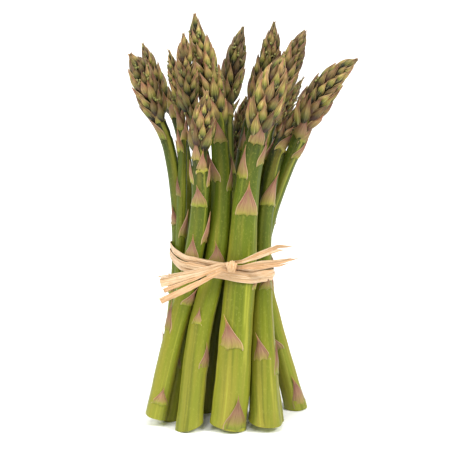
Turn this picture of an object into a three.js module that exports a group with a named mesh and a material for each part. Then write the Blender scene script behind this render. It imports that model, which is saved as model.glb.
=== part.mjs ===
// A bundle of green asparagus spears, tied round the middle with raffia and
// standing on its cut ends. Millimetres, +Z up, +X to the right, front towards -Y.
//
// Each spear is one solid: a tapering stem that swells into a pointed head. Its
// middle line is a short route, and the spears are then settled against each
// other, so that they pack closely where the tie holds them and never overlap.

import * as THREE from 'three';

// ---- driving dimensions ----

const CLEARANCE = 0.35; // space left between neighbouring solids
const SIDES = 12; // facets round a spear
const LEVEL = 6; // height between two cross-sections of a spear
const HEAD_WIDEST = 0.36; // how far up a head its widest place is, as a share
const HEAD_FULLNESS = 2.9; // how long a head stays wide before it closes to its tip

const TIE_HEIGHT = 86; // where the tie crosses x = 0
const TIE_SLOPE = -0.14; // the tie sits lower on the right
const BAND_CLEARANCE = 0.6; // between a band and the stems, whose facets it must clear
const BAND_THICKNESS = 0.9;
const BAND_STEPS = 48; // directions in which a band's outline is found
const UPPER_BAND_WIDTH = 3;
const LOWER_BAND_WIDTH = 5;

const KNOT_X = 4; // in the gap between the two front spears
const KNOT_RISE = 2.6; // how far the knot rides above the tie's own height
const KNOT_SIZE = { width: 5.6, depth: 3.6, height: 5.2 };
const KNOT_SIDE = 3.4; // the loose ends start this far beside the knot's middle
const TAIL_THICKNESS = 0.6;

// ---- the spears ----

// route: [x, y, z] from the cut end to the tip, rising all the way.
// radii: at the cut end, at the tie, just under the head, and at its widest.
// headBase: the height where the head starts to swell.
// fullness: for a blunter head than most.
// cut: rise of the cut face per millimetre to the right and to the back.
// lift: how far the lowest edge of the cut end hangs above the ground.
const SPEARS = [
  {
    name: 'spear_front_middle',
    colour: 0x8f9f3a,
    route: [
      [2, -25, 0], [6, -24, 29], [10, -19, 86], [12, -19, 121],
      [17, -21, 155], [23, -23, 174], [30, -25, 195],
    ],
    radii: { foot: 9.2, tie: 7.4, neck: 5.2, head: 8.0 },
    headBase: 150,
    cut: [-0.22, 0],
  },
  {
    name: 'spear_tall_left',
    colour: 0x7f9632,
    route: [
      [-18, -26, 0], [-12, -22, 53], [-4, -18, 87], [-1, -14, 120],
      [-3, -10, 157], [-8.8, -7, 184], [-14, -5, 204], [-14.5, -4, 213],
    ],
    radii: { foot: 6.8, tie: 5.6, neck: 4.6, head: 6.6 },
    headBase: 152,
    cut: [0.3, 0.1],
  },
  {
    name: 'spear_front_left',
    colour: 0x8d9a3f,
    route: [
      [-36, -17, 0], [-28, -18, 38], [-16, -17, 87], [-12, -20, 120],
      [-12, -23, 145], [-10, -26, 162], [-8, -29, 177],
    ],
    radii: { foot: 5.6, tie: 5.0, neck: 4.0, head: 6.0 },
    headBase: 138,
    cut: [-0.3, 0],
    lift: 3,
  },
  {
    name: 'spear_left_slender',
    colour: 0x7d9240,
    route: [
      [-25, -3, 0], [-23, -6, 37], [-22, -10, 88], [-21, -8, 125],
      [-21, -6, 154], [-24, -3, 177], [-28, 0, 194],
    ],
    radii: { foot: 4.2, tie: 2.7, neck: 2.1, head: 3.8 },
    headBase: 158,
  },
  {
    name: 'spear_left_pointed',
    colour: 0x6f8238,
    route: [
      [-29, -11, 0], [-22, -9, 38], [-12, -6, 85], [-9, -8, 123],
      [-10.5, -9, 140], [-15.5, -11, 160], [-18.5, -13, 183], [-20, -14, 204],
    ],
    radii: { foot: 4.7, tie: 4.5, neck: 3.2, head: 5.5 },
    headBase: 158,
    cut: [-0.1, 0.1],
  },
  {
    name: 'spear_far_left',
    colour: 0x6b7f33,
    route: [
      [-31, 6, 0], [-28, 4, 34], [-23.5, 0, 85], [-24.5, -2, 121],
      [-29.5, -4, 150], [-39.5, -5, 176], [-47.5, -6, 193],
    ],
    radii: { foot: 4.4, tie: 3.4, neck: 3.1, head: 6.3 },
    headBase: 150,
    fullness: 4.6,
  },
  {
    name: 'spear_far_left_back',
    colour: 0x71853a,
    route: [
      [-23, 17, 0], [-21, 12, 32], [-18, 9, 83], [-19, 10, 124],
      [-24.5, 14, 156], [-34.5, 18, 173], [-42.5, 22, 195],
    ],
    radii: { foot: 5.0, tie: 4.4, neck: 2.6, head: 4.8 },
    headBase: 156,
    cut: [0, -0.08],
  },
  {
    name: 'spear_back_middle',
    colour: 0x55692a,
    route: [
      [-10, 4, 0], [-4, -1, 46], [3, -7, 84], [3, -3, 122],
      [2, 3, 150], [4, 10, 178], [10, 17, 204],
    ],
    radii: { foot: 5.2, tie: 4.0, neck: 2.9, head: 5.8 },
    headBase: 158,
  },
  {
    name: 'spear_back_right',
    colour: 0x67792f,
    route: [
      [7, 10, 0], [7, 7, 44], [7, 4, 84], [9, 4, 121],
      [13, 5, 148], [18, 7, 168], [24, 10, 187], [26, 13, 207],
    ],
    radii: { foot: 5.6, tie: 4.6, neck: 3.4, head: 6.1 },
    headBase: 156,
  },
  {
    name: 'spear_back_short',
    colour: 0x5f7431,
    route: [
      [-7, 22, 0], [-6, 12, 43], [-4, 6, 84], [1, 11, 114],
      [5, 16, 136], [8, 19, 152], [12, 22, 167],
    ],
    radii: { foot: 5.4, tie: 4.6, neck: 3.0, head: 4.4 },
    headBase: 130,
    cut: [0.06, -0.06],
  },
  {
    name: 'spear_upper_right',
    colour: 0x75873c,
    route: [
      [26, -14, 0], [20, -9, 46], [14, -4, 84], [17, -3, 114],
      [22, 0, 150], [28.5, 4, 174], [42, 9, 203],
    ],
    radii: { foot: 5.2, tie: 4.8, neck: 3.8, head: 6.0 },
    headBase: 152,
    fullness: 4,
  },
  {
    name: 'spear_back_small',
    colour: 0x5c7a30,
    route: [
      [20, 19, 0], [17, 13, 42], [13, 9, 84], [16, 13, 116],
      [25, 19, 142], [32, 23, 159], [42, 28, 176],
    ],
    radii: { foot: 5.0, tie: 4.0, neck: 2.4, head: 3.7 },
    headBase: 142,
    cut: [-0.06, -0.08],
  },
  {
    name: 'spear_far_right',
    colour: 0x7b8f35,
    route: [
      [38.5, 8, 0], [26, 6, 47], [18.8, 4, 82], [23, 3, 109],
      [33, 1, 140], [42, -2, 164], [52, -3, 176], [68, -5, 190],
    ],
    radii: { foot: 5.7, tie: 3.8, neck: 3.5, head: 7.8 },
    headBase: 150,
    cut: [0.05, 0],
  },
  {
    name: 'spear_right',
    colour: 0x82963a,
    route: [
      [22, -23.5, 0], [18.5, -20, 49], [19, -12, 86], [21, -12, 113],
      [28, -7, 144], [33, -2, 152], [46, 8, 168],
    ],
    radii: { foot: 8.4, tie: 4.6, neck: 3.6, head: 4.2 },
    headBase: 146,
    cut: [-0.08, 0.05],
    lift: 3,
  },
];

// ---- small helpers ----

function mix(from, to, share) {
  return from + (to - from) * share;
}

function smooth(share) {
  return share * share * (3 - 2 * share);
}

// The point at a given height on a curve that rises all the way.
function pointAtHeight(curve, height) {
  let low = 0;
  let high = 1;
  for (let i = 0; i < 40; i += 1) {
    const middle = (low + high) / 2;
    if (curve.getPoint(middle).z < height) low = middle;
    else high = middle;
  }
  return curve.getPoint(low);
}

// A spear's radius at a height: the stem narrows upwards, then the head swells
// to its widest place and closes in an ogive.
function radiusAt(spear, height) {
  const { foot, tie, neck, head } = spear.radii;
  if (height <= TIE_HEIGHT) return mix(foot, tie, height / TIE_HEIGHT);
  if (height <= spear.headBase) {
    return mix(tie, neck, (height - TIE_HEIGHT) / (spear.headBase - TIE_HEIGHT));
  }
  const share = (height - spear.headBase) / (spear.tip - spear.headBase);
  if (share < HEAD_WIDEST) return mix(neck, head, smooth(share / HEAD_WIDEST));
  const towardsTip = (share - HEAD_WIDEST) / (1 - HEAD_WIDEST);
  return head * (1 - towardsTip ** (spear.fullness ?? HEAD_FULLNESS));
}

// ---- settling the spears against each other ----

// Cross-sections of a spear at every level, and one at its tip.
function makeLevels(spear) {
  const curve = new THREE.CatmullRomCurve3(spear.route.map((p) => new THREE.Vector3(...p)));
  spear.tip = spear.route.at(-1)[2];
  spear.levels = [];
  for (let height = 0; height < spear.tip - LEVEL / 2; height += LEVEL) {
    spear.levels.push(pointAtHeight(curve, height));
  }
  spear.levels.push(new THREE.Vector3(...spear.route.at(-1)));
}

// The half-width that a leaning spear takes up in a level plane.
function reachAt(spear, index) {
  const below = spear.levels[Math.max(index - 1, 0)];
  const above = spear.levels[Math.min(index + 1, spear.levels.length - 1)];
  const along = above.clone().sub(below).normalize();
  return radiusAt(spear, spear.levels[index].z) / along.z;
}

// Two spears that crowd each other at a level move apart, mostly in depth.
function partAtLevel(a, b, index) {
  const from = a.levels[index];
  const to = b.levels[index];
  const dx = to.x - from.x;
  const dy = to.y - from.y;
  const distance = Math.hypot(dx, dy);
  const crowding = reachAt(a, index) + reachAt(b, index) + CLEARANCE - distance;
  if (crowding <= 0) return;
  const pushX = (dx / distance) * crowding * 0.15;
  const pushY = Math.sign(dy || 1) * Math.max(Math.abs(dy / distance), 0.4) * crowding * 0.5;
  from.x -= pushX;
  from.y -= pushY;
  to.x += pushX;
  to.y += pushY;
}

// Spreads each shift along the spear, so that it bends instead of kinking.
function straighten(spear, start) {
  const shifts = spear.levels.map((point, index) => point.clone().sub(start[index]));
  for (let index = 1; index < shifts.length - 1; index += 1) {
    const between = shifts[index - 1].clone().add(shifts[index + 1]).multiplyScalar(0.5);
    spear.levels[index].addScaledVector(between.sub(shifts[index]), 0.5);
  }
}

function settle(spears, rounds = 260) {
  const starts = spears.map((spear) => spear.levels.map((point) => point.clone()));
  for (let round = 0; round < rounds; round += 1) {
    for (let i = 0; i < spears.length; i += 1) {
      for (let j = i + 1; j < spears.length; j += 1) {
        const shared = Math.min(spears[i].levels.length, spears[j].levels.length) - 1;
        for (let index = 0; index < shared; index += 1) partAtLevel(spears[i], spears[j], index);
      }
    }
    if (round < rounds * 0.8) spears.forEach((spear, i) => straighten(spear, starts[i]));
  }
}

// ---- spear solids ----

// Slides a point along the stem onto a cut face through the middle of its foot.
function slideToCut(point, along, spear) {
  const [right, back] = spear.cut ?? [0, 0];
  const foot = spear.levels[0];
  const rise = right * (point.x - foot.x) + back * (point.y - foot.y);
  const slide = (rise - point.z) / (along.z - right * along.x - back * along.y);
  point.addScaledVector(along, slide);
}

// The profile of a spear, as radius and height. A lifted spear starts higher.
function spearProfile(spear) {
  const profile = [new THREE.Vector2(0, 0)];
  for (const level of spear.levels.slice(0, -1)) {
    const belowCut = level.z > 0 && level.z < 2 * (spear.lift ?? 0);
    if (!belowCut) profile.push(new THREE.Vector2(radiusAt(spear, level.z), level.z));
  }
  profile.push(new THREE.Vector2(0, spear.tip));
  return profile;
}

// A lathed profile, bent so that its axis follows the spear's middle line.
function spearGeometry(spear) {
  const curve = new THREE.CatmullRomCurve3(spear.levels);
  const geometry = new THREE.LatheGeometry(spearProfile(spear), SIDES);
  const position = geometry.getAttribute('position');
  const last = spear.levels.length - 1;
  const vertices = [];
  let lowest = Infinity;
  for (let i = 0; i < position.count; i += 1) {
    const lathed = new THREE.Vector3().fromBufferAttribute(position, i);
    const index = Math.min(Math.round(lathed.y / LEVEL), last);
    const along = curve.getTangent(index / last);
    const across = new THREE.Vector3(1, 0, 0).addScaledVector(along, -along.x).normalize();
    const outward = new THREE.Vector3().crossVectors(along, across);
    const bent = spear.levels[index].clone();
    bent.addScaledVector(across, lathed.z);
    bent.addScaledVector(outward, lathed.x);
    const atCut = lathed.y === 0;
    if (atCut) slideToCut(bent, along, spear);
    lowest = Math.min(lowest, bent.z);
    vertices.push({ bent, along, atCut });
  }

  // The cut face moves along the stem until its lowest edge is where it rests.
  vertices.forEach(({ bent, along, atCut }, i) => {
    if (atCut) bent.addScaledVector(along, ((spear.lift ?? 0) - lowest) / along.z);
    position.setXYZ(i, bent.x, bent.y, bent.z);
  });
  geometry.computeVertexNormals();
  return geometry;
}

function makeSpear(spear) {
  const material = new THREE.MeshStandardMaterial({ color: spear.colour, roughness: 0.45, metalness: 0 });
  const mesh = new THREE.Mesh(spearGeometry(spear), material);
  mesh.name = spear.name;
  return mesh;
}

// ---- the raffia tie ----

// Each piece of raffia has a material of its own, in the same straw colour.
function raffiaMesh(name, geometry) {
  const material = new THREE.MeshStandardMaterial({ color: 0xe0c296, roughness: 0.6, metalness: 0 });
  const mesh = new THREE.Mesh(geometry, material);
  mesh.name = name;
  return mesh;
}

// The circles that the stems make within the height of a band.
function stemCircles(spears, bottom, width) {
  const circles = [];
  for (const spear of spears) {
    const curve = new THREE.CatmullRomCurve3(spear.levels);
    for (const height of [bottom, bottom + width / 2, bottom + width]) {
      const near = pointAtHeight(curve, height);
      const centre = pointAtHeight(curve, height + TIE_SLOPE * near.x);
      const index = Math.round(centre.z / LEVEL);
      circles.push({ centre, radius: reachAt(spear, index) });
    }
  }
  return circles;
}

// A taut outline round the stems: in each direction it touches the stem that
// reaches out farthest, and it runs straight from one such stem to the next.
function tautOutline(circles, gap) {
  const outline = [];
  for (let step = 0; step < BAND_STEPS; step += 1) {
    const angle = (step / BAND_STEPS) * Math.PI * 2;
    const direction = new THREE.Vector2(Math.cos(angle), Math.sin(angle));
    const reach = (c) => c.centre.x * direction.x + c.centre.y * direction.y + c.radius;
    const farthest = circles.reduce((best, c) => (reach(c) > reach(best) ? c : best));
    const touch = direction.clone().multiplyScalar(farthest.radius + gap);
    outline.push(touch.add(new THREE.Vector2(farthest.centre.x, farthest.centre.y)));
  }
  return outline;
}

// A closed flat band round all the stems, tilted like the tie.
function bandGeometry(circles, bottom, width) {
  const shape = new THREE.Shape(tautOutline(circles, BAND_CLEARANCE + BAND_THICKNESS));
  shape.holes.push(new THREE.Path(tautOutline(circles, BAND_CLEARANCE)));
  const geometry = new THREE.ExtrudeGeometry(shape, { depth: width, bevelEnabled: false });
  const position = geometry.getAttribute('position');
  for (let i = 0; i < position.count; i += 1) {
    position.setZ(i, position.getZ(i) + bottom + TIE_SLOPE * position.getX(i));
  }
  return geometry;
}

// How far forward an outline reaches near a place along X.
function frontOf(outline, x, reach) {
  const near = outline.filter((point) => Math.abs(point.x - x) < reach && point.y < 0);
  return Math.min(...near.map((point) => point.y));
}

function knotGeometry(front) {
  const { width, depth, height } = KNOT_SIZE;
  const geometry = new THREE.SphereGeometry(0.5, 12, 8);
  geometry.rotateX(Math.PI / 2);
  geometry.scale(width, depth, height);
  geometry.translate(KNOT_X, front - CLEARANCE - depth / 2, TIE_HEIGHT + KNOT_RISE);
  return geometry;
}

// A flat strip that starts beside the knot. Each stop gives how far along X and
// Z it is from the knot's middle, how far forward, and how wide the strip is.
function tailGeometry(stops, front) {
  const upper = stops.map((stop) => new THREE.Vector2(stop.x, stop.z + stop.width / 2));
  const lower = stops.map((stop) => new THREE.Vector2(stop.x, stop.z - stop.width / 2));
  const shape = new THREE.Shape([...upper, ...lower.reverse()]);
  const geometry = new THREE.ExtrudeGeometry(shape, { depth: TAIL_THICKNESS, bevelEnabled: false });
  geometry.rotateX(Math.PI / 2);
  const position = geometry.getAttribute('position');
  for (let i = 0; i < position.count; i += 1) {
    const stop = stops.find((each) => Math.abs(each.x - position.getX(i)) < 1e-4);
    position.setY(i, position.getY(i) - stop.forward);
  }
  geometry.translate(KNOT_X, front - CLEARANCE, TIE_HEIGHT + KNOT_RISE);
  return geometry;
}

// The loose ends: three to the left, two to the right.
const TAILS = {
  raffia_tail_left_top: [
    { x: -KNOT_SIDE, z: 1.7, forward: 0.8, width: 0.8 },
    { x: -18, z: -2.5, forward: 0.5, width: 1.3 },
    { x: -37, z: -6.4, forward: 0, width: 1.3 },
  ],
  raffia_tail_left_middle: [
    { x: -KNOT_SIDE, z: 0.2, forward: 0.8, width: 1.4 },
    { x: -18, z: -5.3, forward: 0.5, width: 3.6 },
    { x: -36, z: -10.8, forward: 0, width: 6.4 },
  ],
  raffia_tail_left_bottom: [
    { x: -KNOT_SIDE, z: -1.6, forward: 0.8, width: 1.2 },
    { x: -17, z: -9.2, forward: 0.9, width: 2.6 },
    { x: -36, z: -18.3, forward: 0.6, width: 2.9 },
  ],
  raffia_tail_right_upper: [
    { x: KNOT_SIDE, z: 1.6, forward: 0.8, width: 1.6 },
    { x: 13, z: 5.4, forward: 0.8, width: 3.2 },
    { x: 23, z: 9.2, forward: 0.2, width: 3.4 },
    { x: 32, z: 9.2, forward: -1.5, width: 1.2 },
  ],
  raffia_tail_right_lower: [
    { x: KNOT_SIDE, z: -0.8, forward: 0.8, width: 1.8 },
    { x: 15, z: 0.6, forward: 0.8, width: 4.2 },
    { x: 25, z: 1.6, forward: 0, width: 3.4 },
    { x: 35, z: 3.6, forward: -2, width: 1 },
  ],
};

function makeTie(spears) {
  const lowerBottom = TIE_HEIGHT - LOWER_BAND_WIDTH;
  const upperBottom = TIE_HEIGHT + CLEARANCE;
  const lowerCircles = stemCircles(spears, lowerBottom, LOWER_BAND_WIDTH);
  const upperCircles = stemCircles(spears, upperBottom, UPPER_BAND_WIDTH);
  const outside = tautOutline([...lowerCircles, ...upperCircles], BAND_CLEARANCE + BAND_THICKNESS);
  const front = frontOf(outside, KNOT_X, 12);

  const pieces = [
    raffiaMesh('raffia_band_lower', bandGeometry(lowerCircles, lowerBottom, LOWER_BAND_WIDTH)),
    raffiaMesh('raffia_band_upper', bandGeometry(upperCircles, upperBottom, UPPER_BAND_WIDTH)),
    raffiaMesh('raffia_knot', knotGeometry(front)),
  ];
  for (const [name, stops] of Object.entries(TAILS)) {
    pieces.push(raffiaMesh(name, tailGeometry(stops, front)));
  }
  return pieces;
}

// ---- the bundle ----

SPEARS.forEach(makeLevels);
settle(SPEARS);

const bundle = new THREE.Group();
bundle.add(...SPEARS.map(makeSpear), ...makeTie(SPEARS));

// The origin is on the ground, under the middle of the whole bundle.
const box = new THREE.Box3().setFromObject(bundle);
const middle = box.getCenter(new THREE.Vector3());
bundle.position.set(-middle.x, -middle.y, -box.min.z);

export default bundle;
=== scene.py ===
"""A bundle of green asparagus, tied with raffia and standing on its cut ends.

Every spear is rebuilt around the middle line and radius of its CAD solid: a
ridged stem, scale leaves up its length, a head of overlapping leaves with small
buds between them, and a fibrous cut end. The tie is flat strips of raffia laid
along the CAD band, wound into a knot and split at their loose ends.
"""

import math

import bpy
import numpy as np
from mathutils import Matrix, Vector


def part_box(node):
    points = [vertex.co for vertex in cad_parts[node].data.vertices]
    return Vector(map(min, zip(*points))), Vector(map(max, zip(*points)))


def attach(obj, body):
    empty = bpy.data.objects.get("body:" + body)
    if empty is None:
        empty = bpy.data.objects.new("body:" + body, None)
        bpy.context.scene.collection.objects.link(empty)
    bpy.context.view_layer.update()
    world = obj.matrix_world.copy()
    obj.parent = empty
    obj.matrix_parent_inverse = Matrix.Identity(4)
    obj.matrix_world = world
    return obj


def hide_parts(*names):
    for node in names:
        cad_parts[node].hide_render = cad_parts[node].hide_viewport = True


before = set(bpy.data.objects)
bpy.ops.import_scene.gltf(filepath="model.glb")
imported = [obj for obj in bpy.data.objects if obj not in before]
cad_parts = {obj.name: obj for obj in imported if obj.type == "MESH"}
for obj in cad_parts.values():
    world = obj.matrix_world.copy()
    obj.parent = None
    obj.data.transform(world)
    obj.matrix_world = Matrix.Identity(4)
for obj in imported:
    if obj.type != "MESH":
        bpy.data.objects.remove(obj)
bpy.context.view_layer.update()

MM = 0.001


# ---- camera, light and floor ----

CAMERA_ELEVATION = math.radians(13)
CAMERA_DISTANCE = 0.9
CAMERA_LENS = 135.4  # millimetres, on a 36 mm sensor
CAMERA_AIM = (-6.6 * MM, 3 * MM, 100 * MM)  # a little left of the middle, at the stems' upper half

SUN_LIGHTS = [
    # name, degrees round from the front to the right, degrees up, strength, softness in degrees
    ("right_light", 60, 44, 2.55, 20),
    ("left_light", -64, 42, 1.9, 24),
    ("front_light", -14, 60, 1.2, 24),
    ("back_light", 172, 46, 1.0, 40),
]
WORLD_STRENGTH = 0.20
FLOOR_HALF_WIDTH = 6  # metres


def direction(turn, rise):
    """Unit vector from the object towards a place round it; turn 0 is the front."""
    turn, rise = math.radians(turn), math.radians(rise)
    return np.array([math.sin(turn) * math.cos(rise), -math.cos(turn) * math.cos(rise), math.sin(rise)])


def aim(obj, towards):
    """Turns an object so that its -Z axis points along a direction."""
    obj.rotation_euler = Vector(towards).to_track_quat("-Z", "Y").to_euler()


def add_object(name, data):
    obj = bpy.data.objects.new(name, data)
    bpy.context.scene.collection.objects.link(obj)
    return obj


def make_camera():
    data = bpy.data.cameras.new("camera")
    data.sensor_width = 36
    data.lens = CAMERA_LENS
    data.clip_start = 0.01
    data.clip_end = 50
    camera = add_object("camera", data)
    back = direction(0, math.degrees(CAMERA_ELEVATION))
    camera.location = np.array(CAMERA_AIM) + back * CAMERA_DISTANCE
    aim(camera, -back)
    bpy.context.scene.camera = camera


def make_lights():
    for name, turn, rise, strength, softness in SUN_LIGHTS:
        data = bpy.data.lights.new(name, "SUN")
        data.energy = strength
        data.angle = math.radians(softness)
        light = add_object(name, data)
        light.location = direction(turn, rise)
        aim(light, -direction(turn, rise))
    world = bpy.data.worlds.new("studio")
    bpy.context.scene.world = world
    world.use_nodes = True
    background = world.node_tree.nodes["Background"]
    background.inputs["Color"].default_value = (1, 1, 1, 1)
    background.inputs["Strength"].default_value = WORLD_STRENGTH
    bpy.context.scene.view_settings.view_transform = "Standard"


def make_floor():
    half = FLOOR_HALF_WIDTH
    mesh = bpy.data.meshes.new("floor")
    corners = [(-half, -half, 0), (half, -half, 0), (half, half, 0), (-half, half, 0)]
    mesh.from_pydata(corners, [], [(0, 1, 2, 3)])
    floor = add_object("floor", mesh)
    shader = Shader("pale_floor")
    shader.set(**{"Base Color": colour("fbfbf9"), "Roughness": 0.9})
    mesh.materials.append(shader.material)


# ---- materials ----

# Colours are sRGB hex codes. Stops are [share of the way, colour], up a stem or from a leaf's base
# to its tip. spread: how dark and how pale single leaves get.
# Up a stem the green darkens; the last stop, near black, is painted shade on the stem inside the head,
# under its overlapping leaves.
STEM_GREENS_AND_HEAD_SHADE = [
    (0.0, "8f922e"), (0.08, "888e28"), (0.26, "7b841a"), (0.42, "6d7914"),
    (0.58, "5b6b11"), (0.72, "46550f"), (0.80, "20260a"),
]
LONE_LEAF = dict(
    name="asparagus_leaf",
    stops=[
        (0.0, "8c962a"), (0.07, "989636"), (0.16, "9c8b48"),
        (0.42, "9e785a"), (0.72, "85554a"), (1.0, "c08a3c"),
    ],
    edge="8a5148", rim="c9ab80", dark_vein="6b4435", pale_vein_and_highlight="bd9c70",
    green="8c8442", ruddy="8f5f54", spread=(0.82, 1.14),
)
HEAD_LEAF = dict(
    name="asparagus_head_leaf",
    stops=[
        # The first two stops, near black, are painted shade at the base of each head leaf, tucked under
        # the leaf above.
        (0.0, "080904"), (0.22, "1d2009"), (0.36, "77782e"),
        (0.56, "ae9854"), (0.80, "96664e"), (1.0, "a66c48"),
    ],
    edge="7c4a3e", rim="dcbf88", dark_vein="382c18", pale_vein_and_highlight="e0d088",
    green="7e8a34", ruddy="8c584c", spread=(0.52, 1.22),
)
RAFFIA_STRAW = [(0.25, "bf966a"), (0.42, "d6b48a"), (0.56, "e4c9a4"), (0.75, "f2e2c8")]


def colour(hex_code):
    """An sRGB hex code as a linear colour."""
    parts = [int(hex_code[i:i + 2], 16) / 255 for i in (0, 2, 4)]
    return [p / 12.92 if p <= 0.04045 else ((p + 0.055) / 1.055) ** 2.4 for p in parts] + [1.0]


class Shader:
    """A node material with a few words for building it."""

    def __init__(self, name):
        self.material = bpy.data.materials.new(name)
        self.material.use_nodes = True
        self.tree = self.material.node_tree
        self.surface = self.tree.nodes["Principled BSDF"]

    def set(self, **values):
        for name, value in values.items():
            self.feed(self.surface.inputs[name], value)

    def feed(self, socket, value):
        if isinstance(value, bpy.types.NodeSocket):
            self.tree.links.new(value, socket)
        else:
            socket.default_value = value

    def node(self, kind, inputs=(), **settings):
        made = self.tree.nodes.new(kind)
        for name, value in settings.items():
            setattr(made, name, value)
        for key, value in dict(inputs).items():
            self.feed(made.inputs[key], value)
        return made

    def attribute(self, name):
        return self.node("ShaderNodeAttribute", attribute_name=name)

    def leaf(self):
        """The leaf attribute, and its parts: across, along and the leaf's own random number."""
        leaf = self.attribute("leaf").outputs["Vector"]
        return leaf, *self.node("ShaderNodeSeparateXYZ", {0: leaf}).outputs[:3]

    def math(self, operation, a, b=0.0, clamp=False):
        inputs = {0: a, 1: b}
        return self.node("ShaderNodeMath", inputs, operation=operation, use_clamp=clamp).outputs[0]

    def stretch(self, vector, scale):
        inputs = {0: vector, 1: scale}
        return self.node("ShaderNodeVectorMath", inputs, operation="MULTIPLY").outputs[0]

    def noise(self, vector, scale, detail=3.0, roughness=0.55):
        inputs = {"Vector": vector, "Scale": scale, "Detail": detail, "Roughness": roughness}
        return self.node("ShaderNodeTexNoise", inputs).outputs["Fac"]

    def between(self, value, low, high, to_low=0.0, to_high=1.0):
        inputs = {0: value, 1: low, 2: high, 3: to_low, 4: to_high}
        return self.node("ShaderNodeMapRange", inputs, interpolation_type="SMOOTHSTEP").outputs[0]

    def ramp(self, value, stops):
        made = self.node("ShaderNodeValToRGB", {0: value})
        elements = made.color_ramp.elements
        while len(elements) < len(stops):
            elements.new(0.5)
        for element, (place, code) in zip(elements, stops):
            element.position = place
            element.color = colour(code)
        return made.outputs[0]

    def mix(self, share, a, b, blend="MIX"):
        inputs = {0: share, 6: a, 7: b}
        made = self.node("ShaderNodeMix", inputs, data_type="RGBA", blend_type=blend)
        return made.outputs[2]

    def tint(self, body, value, low, high, most, code):
        """A colour turned towards another one as a value goes from low to high."""
        return self.mix(self.between(value, low, high, 0, most), body, colour(code))

    def grey(self, value):
        return self.node("ShaderNodeCombineColor", {0: value, 1: value, 2: value}).outputs[0]

    def bump(self, height, strength, distance):
        inputs = {"Height": height, "Strength": strength, "Distance": distance}
        return self.node("ShaderNodeBump", inputs).outputs[0]

    def shuffle(self, chance, times):
        """Another random number from 0 to 1, made from a leaf's own one."""
        return self.math("FRACT", self.math("MULTIPLY", chance, times))


def stem_material():
    """Waxy green skin: paler at the foot, with broad lengthwise bands, fine lines and a few flecks. The
    pale bands are partly the skin's own paler streaks and partly painted highlight; the stem inside the
    head is painted shade, and spears further back get painted shade.
    """
    shader = Shader("asparagus_stem")
    up = shader.attribute("up").outputs["Fac"]
    shade_and_warmth = shader.attribute("shade_and_warmth").outputs["Fac"]
    grain = shader.attribute("grain").outputs["Vector"]
    green = shader.ramp(up, STEM_GREENS_AND_HEAD_SHADE)
    warm = shader.noise(shader.stretch(grain, (1, 1, 0.5)), 0.16, 2)
    green = shader.tint(green, warm, 0.46, 0.72, 0.48, "a6943a")
    bands = shader.noise(shader.stretch(grain, (1, 1, 0.12)), 0.42, 3, 0.5)
    green = shader.tint(green, bands, 0.50, 0.68, 0.48, "525e18")
    # painted highlight: the pale side of the bands is partly the skin's own paler streaks and partly a
    # painted waxy highlight
    green = shader.tint(green, bands, 0.46, 0.30, 0.46, "bfbd44")
    lines = shader.noise(shader.stretch(grain, (1, 1, 0.2)), 2.2, 3, 0.6)
    green = shader.tint(green, lines, 0.54, 0.72, 0.08, "6a7a2a")
    mottle = shader.noise(shader.stretch(grain, (1, 1, 5)), 1.1, 4, 0.6)
    green = shader.tint(green, mottle, 0.52, 0.72, 0.22, "bcb756")
    flecks = shader.noise(shader.stretch(grain, (1, 1, 1.6)), 2.0, 2)
    green = shader.tint(green, flecks, 0.72, 0.78, 0.5, "4f5c22")
    # painted shade: spears further back in the bundle are darkened as if they lay in shade
    shade = shader.between(shade_and_warmth, 0, 1, 0.5, 1.0)
    green = shader.mix(1.0, green, shader.grey(shade), "MULTIPLY")
    relief = shader.math("MULTIPLY", bands, 1.6)
    relief = shader.math("ADD", relief, shader.math("MULTIPLY", lines, 0.06))
    relief = shader.math("ADD", relief, shader.math("MULTIPLY", mottle, 0.12))
    shader.set(**{
        "Base Color": green,
        "Roughness": shader.between(mottle, 0.3, 0.7, 0.42, 0.56),
        "Normal": shader.bump(relief, 0.5, 0.5 * MM),
        "Specular IOR Level": 0.25,
        "Subsurface Weight": 0.06,
        "Subsurface Radius": (1.2 * MM, 1.5 * MM, 0.4 * MM),
        "Subsurface Scale": 1.0,
    })
    return shader.material


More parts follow.
